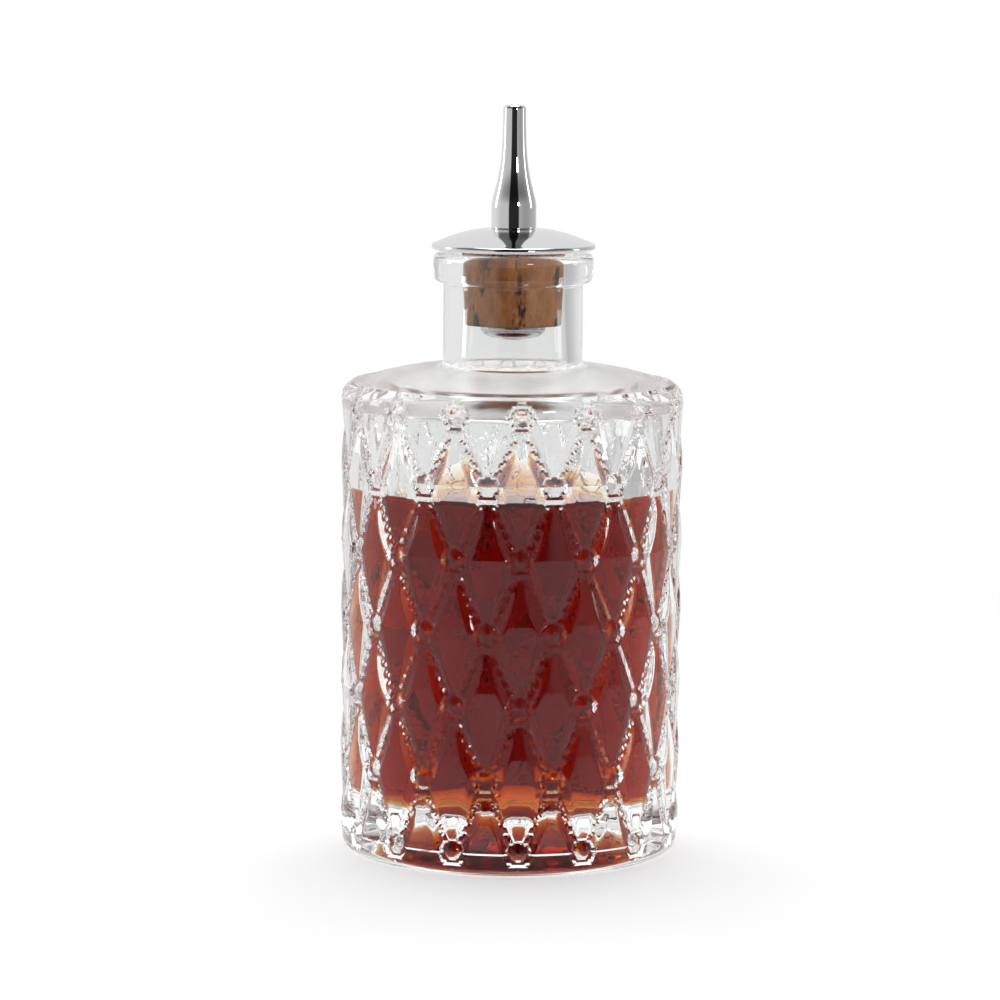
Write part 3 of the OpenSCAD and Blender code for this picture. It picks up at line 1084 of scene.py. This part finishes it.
@dataclass
class Studio:
    """Pale floor, soft light and the camera at the photograph's angle. Metres and degrees."""

    distance: float = 0.9
    focal_px: float = 4590.0
    picture_px: float = 1000.0
    sensor_mm: float = 36.0
    elevation: float = 7.136
    pitch: float = 0.081
    yaw: float = -0.144
    roll: float = 0.470
    target_z: float = 0.070
    floor_r: float = 0.42
    floor_sides: int = 96
    floor_colour: float = 0.9
    floor_fade: tuple[float, float] = (0.5, 0.9)
    floor_lift: float = 0.42
    mirrored_share: float = 0.4
    gap_width: float = 0.45
    gap_depth: float = 0.96
    side_light: float = 0.58
    back_light: float = 0.80
    right_share: float = 0.58
    ceiling_share: float = 0.25
    softboxes: tuple[Softbox, ...] = (
        Softbox("left_softbox", -105, 12, 1.1, (0.20, 0.40), 0.9),
        Softbox("right_softbox", 100, 12, 1.1, (0.20, 0.40), 0.6),
        Softbox("front_lamp", 25, 15, 1.4, (0.20, 0.20), 2.2),
        Softbox("top_softbox", 180, 75, 1.3, (0.80, 0.80), 7.0),
    )

    def camera(self) -> None:
        """Makes the camera, turned about the point it looks at."""
        data = bpy.data.cameras.new("camera")
        data.sensor_width = self.sensor_mm
        data.lens = self.focal_px * self.sensor_mm / self.picture_px
        data.clip_start, data.clip_end = 0.05, 50.0
        e = math.radians(self.elevation)
        where = Vector((0, -math.cos(e), math.sin(e))) * self.distance + Vector((0, 0, self.target_z))
        a, y, r = (math.radians(x) for x in (self.elevation + self.pitch, self.yaw, self.roll))
        ahead = Vector((0, math.cos(a), -math.sin(a)))
        up = Vector((0, math.sin(a), math.cos(a)))
        right = Vector((1, 0, 0))
        ahead, right = math.cos(y) * ahead + math.sin(y) * right, math.cos(y) * right - math.sin(y) * ahead
        right, up = math.cos(r) * right + math.sin(r) * up, math.cos(r) * up - math.sin(r) * right
        turn = Matrix((right, up, -ahead)).transposed()
        camera = bpy.data.objects.new("camera", data)
        camera.matrix_world = Matrix.Translation(where) @ turn.to_4x4()
        bpy.context.scene.collection.objects.link(camera)
        bpy.context.scene.camera = camera

    def floor(self) -> None:
        """Lays a round pale floor that keeps the shadow and fades to the white of the room."""
        mesh = bpy.data.meshes.new("floor")
        a = 2 * np.pi * np.arange(self.floor_sides) / self.floor_sides
        ring = np.column_stack([np.cos(a), np.sin(a), 0 * a]) * self.floor_r
        mesh.from_pydata(ring.tolist(), [], [list(range(self.floor_sides))])
        floor = bpy.data.objects.new("floor", mesh)
        bpy.context.scene.collection.objects.link(floor)
        n = Nodes("floor")
        path = n.add("LightPath").outputs
        camera = path["Is Camera Ray"]
        mirrored = n.maths("MULTIPLY", path["Is Glossy Ray"], self.mirrored_share)
        seen = n.maths("MAXIMUM", n.maths("MAXIMUM", camera, mirrored), path["Is Transmission Ray"])
        paint = n.add("BsdfDiffuse", Color=(*(self.floor_colour,) * 3, 1))
        lift = n.add("Emission", Strength=n.maths("MULTIPLY", seen, self.floor_lift))
        lifted = n.add("AddShader", i0=paint.outputs[0], i1=lift.outputs[0])
        xyz = n.add("SeparateXYZ", Vector=n.add("TexCoord").outputs["Object"]).outputs
        squares = n.maths("ADD", n.maths("POWER", xyz[0], 2.0), n.maths("POWER", xyz[1], 2.0))
        far = n.smooth_step(n.maths("POWER", squares, 0.5), self.floor_fade[0] * self.floor_r,
                            self.floor_fade[1] * self.floor_r)
        white = n.add("Emission", Strength=1.0)
        whitened = n.maths("MULTIPLY", far, camera)
        shown = n.add("MixShader", i0=whitened, i1=lifted.outputs[0], i2=white.outputs[0])
        mesh.materials.append(n.finish(shown.outputs[0]))

    def world(self) -> None:
        """Lights the room: pale all round, white to the camera, with a dark gap in front, behind the camera.

        The light is the product of four shares of the direction (x, y, z): one that rises from side_light in
        front to back_light behind, one that falls to right_share on the right, one that falls to
        ceiling_share overhead, and the gap, where |x| is less than gap_width times -y.
        """
        world = bpy.data.worlds.new("studio")
        bpy.context.scene.world = world
        n = Nodes("studio", world)
        towards = n.add("TexCoord").outputs["Generated"]
        xyz = n.add("SeparateXYZ", Vector=towards).outputs
        ahead = n.maths("MULTIPLY", xyz[1], -1.0)
        side = n.maths("SUBTRACT", n.maths("ABSOLUTE", xyz[0]), n.maths("MULTIPLY", ahead, self.gap_width))
        gap = n.smooth_step(side, -0.03, 0.12, 1.0, 0.0)
        back = n.smooth_step(xyz[1], -0.5, 0.5, self.side_light, self.back_light)
        right = n.smooth_step(xyz[0], 0.1, 0.9, 1.0, self.right_share)
        over = n.maths("SUBTRACT", xyz[2], n.maths("MAXIMUM", xyz[1], 0.0))
        ceiling = n.smooth_step(over, 0.2, 0.5, 1.0, self.ceiling_share)
        open_part = n.maths("SUBTRACT", 1.0, n.maths("MULTIPLY", gap, self.gap_depth))
        light = n.maths("MULTIPLY", n.maths("MULTIPLY", back, right), n.maths("MULTIPLY", ceiling, open_part))
        path = n.add("LightPath").outputs
        plain = n.maths("MAXIMUM", path["Is Camera Ray"], light)
        room = n.add("Background", Color=(1, 1, 1, 1), Strength=plain)
        n.finish(room.outputs[0])

    def build(self) -> None:
        """Sets up camera, floor, world, lamps, the view transform and the bounces that glass needs."""
        self.camera()
        self.floor()
        self.world()
        for softbox in self.softboxes:
            softbox.build(self.target_z)
        scene = bpy.context.scene
        scene.view_settings.view_transform = "Standard"
        scene.cycles.max_bounces = 32
        scene.cycles.transmission_bounces = 32
        scene.cycles.glossy_bounces = 16
        scene.cycles.transparent_max_bounces = 32
        scene.cycles.diffuse_bounces = 3


def main() -> None:
    """Builds the studio, the bottle and its stopper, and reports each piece."""
    logging.basicConfig(level=logging.INFO, format="%(message)s")
    Studio().build()
    for assembly in (GlassBottle(), DasherStopper()):
        for piece in assembly.dress():
            log.info("%s: %d faces", piece.name, len(piece.data.polygons))


if __name__ == "__main__":
    main()
